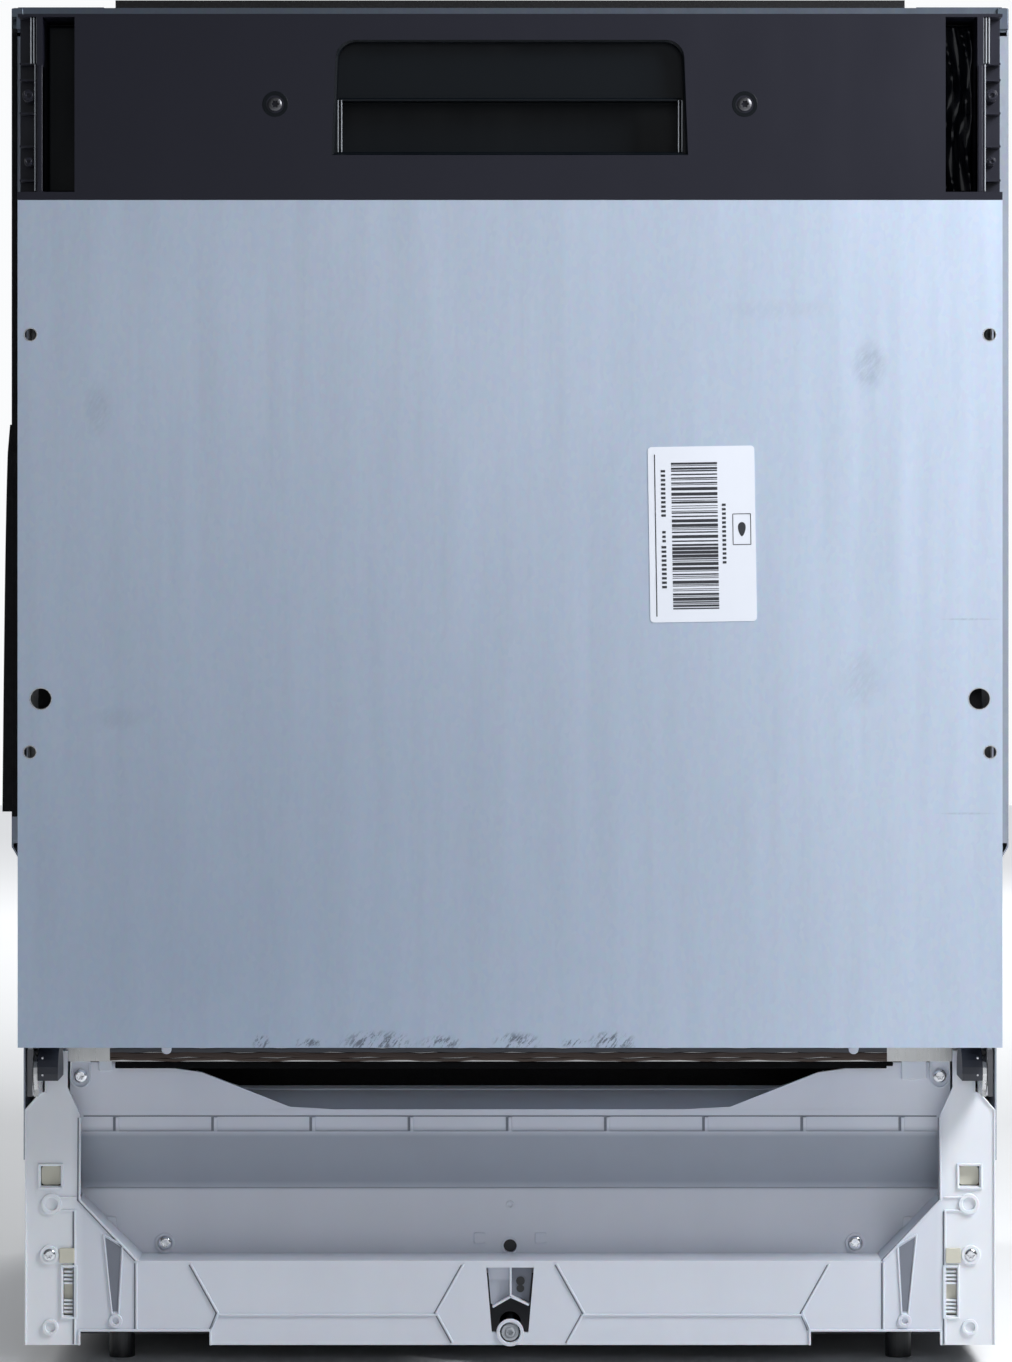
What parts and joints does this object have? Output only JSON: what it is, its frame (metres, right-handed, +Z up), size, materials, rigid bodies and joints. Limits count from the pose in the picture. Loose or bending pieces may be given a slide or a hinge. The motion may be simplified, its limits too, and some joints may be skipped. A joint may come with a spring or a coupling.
{
  "type": "built-in dishwasher",
  "caption": "Fully integrated built-in dishwasher: drop-down door with grip recess, tub with sliding racks, spray arms, filter, pumps, levelling feet.",
  "frame": {"origin": "on the floor under the middle of the machine, at the bottom centre of its bounding box", "axes": "+X to the right seen from the front, +Y towards the back so that the door faces -Y, +Z up"},
  "size_m": [0.598, 0.55, 0.82],
  "materials": {
    "galvanised_steel": "satin",
    "stainless_steel": "satin",
    "bare_steel": "satin",
    "fascia_plastic": "satin",
    "black_plastic": "satin",
    "dark_plastic": "matte",
    "white_plastic": "satin",
    "grey_plastic": "satin",
    "rack_coating": "satin",
    "seal_rubber": "matte",
    "felt": "matte",
    "circuit_board": "satin"
  },
  "bodies": {
    "cabinet": {"base_tray": "dark_plastic", "base_front": "white_plastic", "service_panel": "white_plastic", "wash_tub": "stainless_steel", "tub_seal": "seal_rubber", "top_crossbar": "galvanised_steel", "top_cover": "galvanised_steel", "top_felt_mat": "felt", "left_side_panel": "galvanised_steel", "right_side_panel": "galvanised_steel", "rear_panel": "galvanised_steel", "sump": "grey_plastic", "circulation_pump": "dark_plastic", "drain_pump": "grey_plastic", "water_softener": "white_plastic", "water_inlet": "white_plastic", "drain_outlet": "dark_plastic", "filter_plate": "stainless_steel", "feed_pipe": "grey_plastic", "left_hinge_bracket": "bare_steel", "right_hinge_bracket": "bare_steel", "left_hinge_cover": "dark_plastic", "right_hinge_cover": "dark_plastic", "left_balance_spring": "bare_steel", "right_balance_spring": "bare_steel", "door_strike": "bare_steel", "left_rail_guide": "bare_steel", "right_rail_guide": "bare_steel"},
    "door": {"door_outer_panel": "galvanised_steel", "door_inner_liner": "stainless_steel", "fascia": "fascia_plastic", "grip_pocket": "black_plastic", "control_board": "circuit_board", "dispenser_body": "grey_plastic", "door_lock": "dark_plastic", "left_hinge_arm": "bare_steel", "right_hinge_arm": "bare_steel"},
    "power_button": {"power_button": "grey_plastic"},
    "programme_button_1": {"programme_button_1": "grey_plastic"},
    "programme_button_2": {"programme_button_2": "grey_plastic"},
    "programme_button_3": {"programme_button_3": "grey_plastic"},
    "dispenser_lid": {"dispenser_lid": "grey_plastic"},
    "rinse_cap": {"rinse_cap": "dark_plastic"},
    "upper_rack": {"upper_rack": "rack_coating"},
    "left_rail": {"left_rail": "bare_steel"},
    "right_rail": {"right_rail": "bare_steel"},
    "upper_spray_arm": {"upper_spray_arm": "grey_plastic"},
    "lower_rack": {"lower_rack": "rack_coating", "cutlery_basket": "grey_plastic"},
    "rack_wheel_1": {"rack_wheel_1": "grey_plastic"},
    "rack_wheel_2": {"rack_wheel_2": "grey_plastic"},
    "rack_wheel_3": {"rack_wheel_3": "grey_plastic"},
    "rack_wheel_4": {"rack_wheel_4": "grey_plastic"},
    "lower_spray_arm": {"lower_spray_arm": "grey_plastic"},
    "micro_filter": {"micro_filter": "grey_plastic"},
    "salt_cap": {"salt_cap": "dark_plastic"},
    "front_left_foot": {"front_left_foot": "black_plastic"},
    "front_right_foot": {"front_right_foot": "black_plastic"},
    "rear_foot": {"rear_foot": "black_plastic"},
    "rear_foot_shaft": {"rear_foot_shaft": "grey_plastic"}
  },
  "joints": [
    {"name": "door_hinge", "type": "hinge", "parent": "cabinet", "child": "door", "pos_m": [0, -0.243, 0.18], "axis": [1, 0, 0], "range_deg": [0, 90]},
    {"name": "power_button_press", "type": "slide", "parent": "door", "child": "power_button", "axis": [0, 0, -1], "range_m": [0, 0.001], "stiffness_N_per_m": 400, "springref_m": -0.002},
    {"name": "programme_button_1_press", "type": "slide", "parent": "door", "child": "programme_button_1", "axis": [0, 0, -1], "range_m": [0, 0.001], "stiffness_N_per_m": 400, "springref_m": -0.002},
    {"name": "programme_button_2_press", "type": "slide", "parent": "door", "child": "programme_button_2", "axis": [0, 0, -1], "range_m": [0, 0.001], "stiffness_N_per_m": 400, "springref_m": -0.002},
    {"name": "programme_button_3_press", "type": "slide", "parent": "door", "child": "programme_button_3", "axis": [0, 0, -1], "range_m": [0, 0.001], "stiffness_N_per_m": 400, "springref_m": -0.002},
    {"name": "dispenser_lid_slide", "type": "slide", "parent": "door", "child": "dispenser_lid", "axis": [1, 0, 0], "range_m": [0, 0.058]},
    {"name": "rinse_cap_turn", "type": "hinge", "parent": "door", "child": "rinse_cap", "pos_m": [0.066, -0.211, 0.4774], "axis": [0, -1, 0], "range_deg": [0, 90]},
    {"name": "upper_rack_slide", "type": "slide", "parent": "cabinet", "child": "upper_rack", "axis": [0, -1, 0], "range_m": [0, 0.43]},
    {"name": "left_rail_slide", "type": "slide", "parent": "cabinet", "child": "left_rail", "axis": [0, -1, 0], "range_m": [0, 0.215]},
    {"name": "right_rail_slide", "type": "slide", "parent": "cabinet", "child": "right_rail", "axis": [0, -1, 0], "range_m": [0, 0.215]},
    {"name": "upper_spray_arm_spin", "type": "hinge", "parent": "upper_rack", "child": "upper_spray_arm", "pos_m": [0, 0.02, 0.502], "axis": [0, 0, 1], "continuous": true},
    {"name": "lower_rack_slide", "type": "slide", "parent": "cabinet", "child": "lower_rack", "axis": [0, -1, 0], "range_m": [0, 0.45]},
    {"name": "rack_wheel_1_spin", "type": "hinge", "parent": "lower_rack", "child": "rack_wheel_1", "pos_m": [-0.245, -0.1038, 0.2185], "axis": [1, 0, 0], "continuous": true},
    {"name": "rack_wheel_2_spin", "type": "hinge", "parent": "lower_rack", "child": "rack_wheel_2", "pos_m": [0.245, -0.1038, 0.2185], "axis": [1, 0, 0], "continuous": true},
    {"name": "rack_wheel_3_spin", "type": "hinge", "parent": "lower_rack", "child": "rack_wheel_3", "pos_m": [-0.245, 0.1488, 0.2185], "axis": [1, 0, 0], "continuous": true},
    {"name": "rack_wheel_4_spin", "type": "hinge", "parent": "lower_rack", "child": "rack_wheel_4", "pos_m": [0.245, 0.1488, 0.2185], "axis": [1, 0, 0], "continuous": true},
    {"name": "lower_spray_arm_spin", "type": "hinge", "parent": "cabinet", "child": "lower_spray_arm", "pos_m": [0, 0.02, 0.2105], "axis": [0, 0, 1], "continuous": true},
    {"name": "micro_filter_twist", "type": "hinge", "parent": "cabinet", "child": "micro_filter", "pos_m": [0.078, -0.062, 0.19], "axis": [0, 0, 1], "range_deg": [0, 90]},
    {"name": "salt_cap_turn", "type": "hinge", "parent": "cabinet", "child": "salt_cap", "pos_m": [-0.115, -0.085, 0.185], "axis": [0, 0, 1], "range_deg": [0, 540]},
    {"name": "front_left_foot_travel", "type": "slide", "parent": "cabinet", "child": "front_left_foot", "axis": [0, 0, -1], "range_m": [0, 0.05]},
    {"name": "front_right_foot_travel", "type": "slide", "parent": "cabinet", "child": "front_right_foot", "axis": [0, 0, -1], "range_m": [0, 0.05]},
    {"name": "rear_foot_spindle", "type": "hinge", "parent": "cabinet", "child": "rear_foot_shaft", "pos_m": [0, 0, 0.0215], "axis": [0, 1, 0], "range_deg": [0, 6000]},
    {"name": "rear_foot_travel", "type": "slide", "parent": "cabinet", "child": "rear_foot", "axis": [0, 0, -1], "range_m": [0, 0.05]}
  ],
  "couplings": [
    {"joint": "upper_rack_slide", "follows": "door_hinge", "m_per_rad": 0.27},
    {"joint": "left_rail_slide", "follows": "door_hinge", "m_per_rad": 0.135},
    {"joint": "right_rail_slide", "follows": "door_hinge", "m_per_rad": 0.135},
    {"joint": "lower_rack_slide", "follows": "door_hinge", "m_per_rad": 0.06},
    {"joint": "rear_foot_spindle", "follows": "rear_foot_travel", "rad_per_m": 2094}
  ]
}
